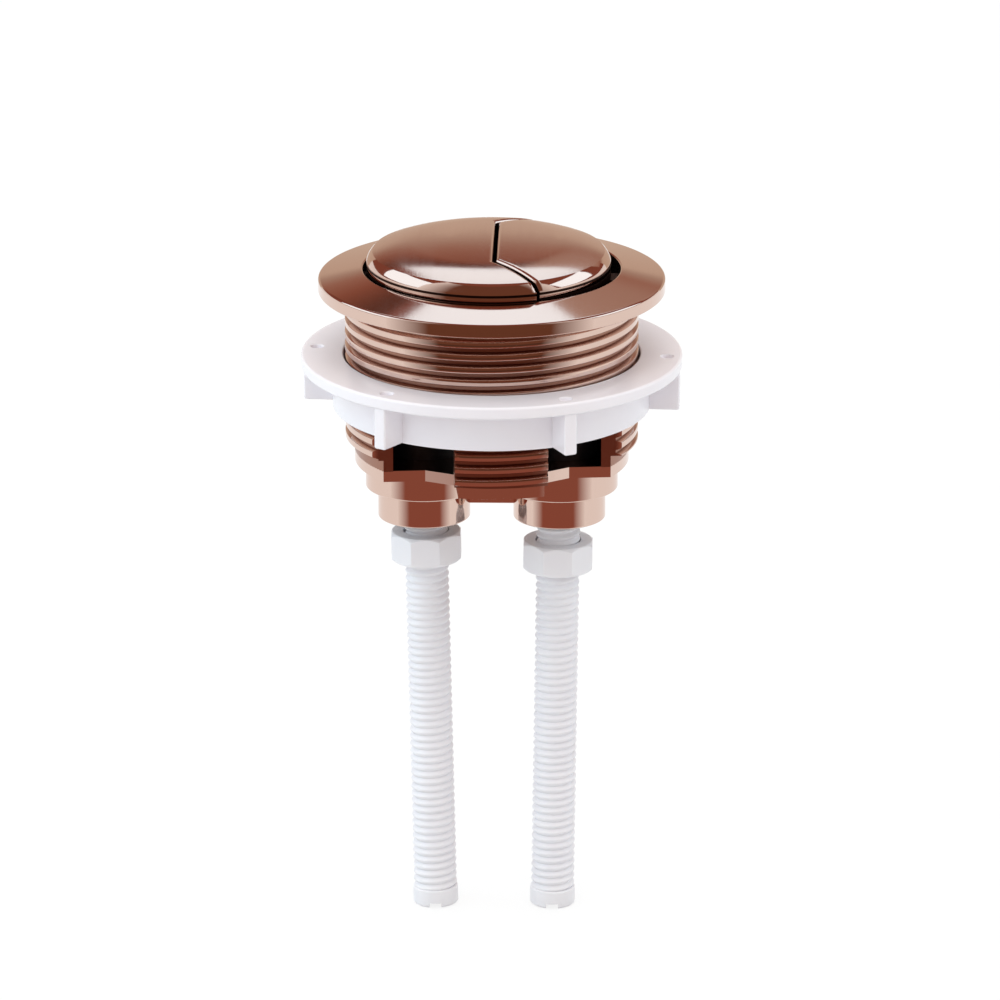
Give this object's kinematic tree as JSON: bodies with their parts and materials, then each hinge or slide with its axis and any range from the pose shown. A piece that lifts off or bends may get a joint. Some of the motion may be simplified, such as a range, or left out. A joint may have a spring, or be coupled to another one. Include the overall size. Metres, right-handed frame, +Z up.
{
  "type": "push button cistern actuator",
  "caption": "Round dual flush push button for a cistern lid, with threaded barrel, clamping ring nut and slotted push rods with lock nuts.",
  "frame": {"origin": "middle of the bezel's seat on the lid, which is the middle of the lid's hole at its top face", "axes": "+Z up out of the lid, opposite to the press; +X from the full flush rod to the half flush rod; -Y towards the user"},
  "size_m": [0.074, 0.074, 0.1374],
  "materials": {
    "copper_plating": "plated plastic in rose copper, satin on the bezel and the caps' crowns, bright elsewhere",
    "white_plastic": "smooth white",
    "dark_plastic": "dark, as moulded",
    "spring_steel": "drawn wire"
  },
  "bodies": {
    "housing": {"housing": "copper_plating"},
    "full_button": {"full_flush_cap": "copper_plating", "full_plunger": "dark_plastic", "full_spring": "spring_steel"},
    "half_button": {"half_flush_cap": "copper_plating", "half_plunger": "dark_plastic", "half_spring": "spring_steel"},
    "full_rod": {"full_rod": "white_plastic"},
    "half_rod": {"half_rod": "white_plastic"},
    "full_lock_nut": {"full_lock_nut": "white_plastic"},
    "half_lock_nut": {"half_lock_nut": "white_plastic"},
    "ring_nut": {"ring_nut": "white_plastic"}
  },
  "joints": [
    {"name": "full_flush_press", "type": "slide", "parent": "housing", "child": "full_button", "axis": [0, 0, -1], "range_m": [0, 0.006], "stiffness_N_per_m": 700, "springref_m": -0.011, "deforming": ["full_spring"]},
    {"name": "half_flush_press", "type": "slide", "parent": "housing", "child": "half_button", "axis": [0, 0, -1], "range_m": [0, 0.006], "stiffness_N_per_m": 700, "springref_m": -0.011, "deforming": ["half_spring"]},
    {"name": "ring_nut_travel", "type": "slide", "parent": "housing", "child": "ring_nut", "axis": [0, 0, 1], "range_m": [-0.0095, 0.0116]},
    {"name": "full_rod_adjust", "type": "slide", "parent": "full_button", "child": "full_rod", "axis": [-0.0223, 0, 0.9998], "range_m": [-0.012, 0.012]},
    {"name": "half_rod_adjust", "type": "slide", "parent": "half_button", "child": "half_rod", "axis": [0.0129, 0, 0.9999], "range_m": [-0.012, 0.012]},
    {"name": "full_lock_nut_travel", "type": "slide", "parent": "full_button", "child": "full_lock_nut", "axis": [-0.0223, 0, 0.9998], "range_m": [-0.06, 0.0036]},
    {"name": "half_lock_nut_travel", "type": "slide", "parent": "half_button", "child": "half_lock_nut", "axis": [0.0129, 0, 0.9999], "range_m": [-0.06, 0.0054]}
  ]
}
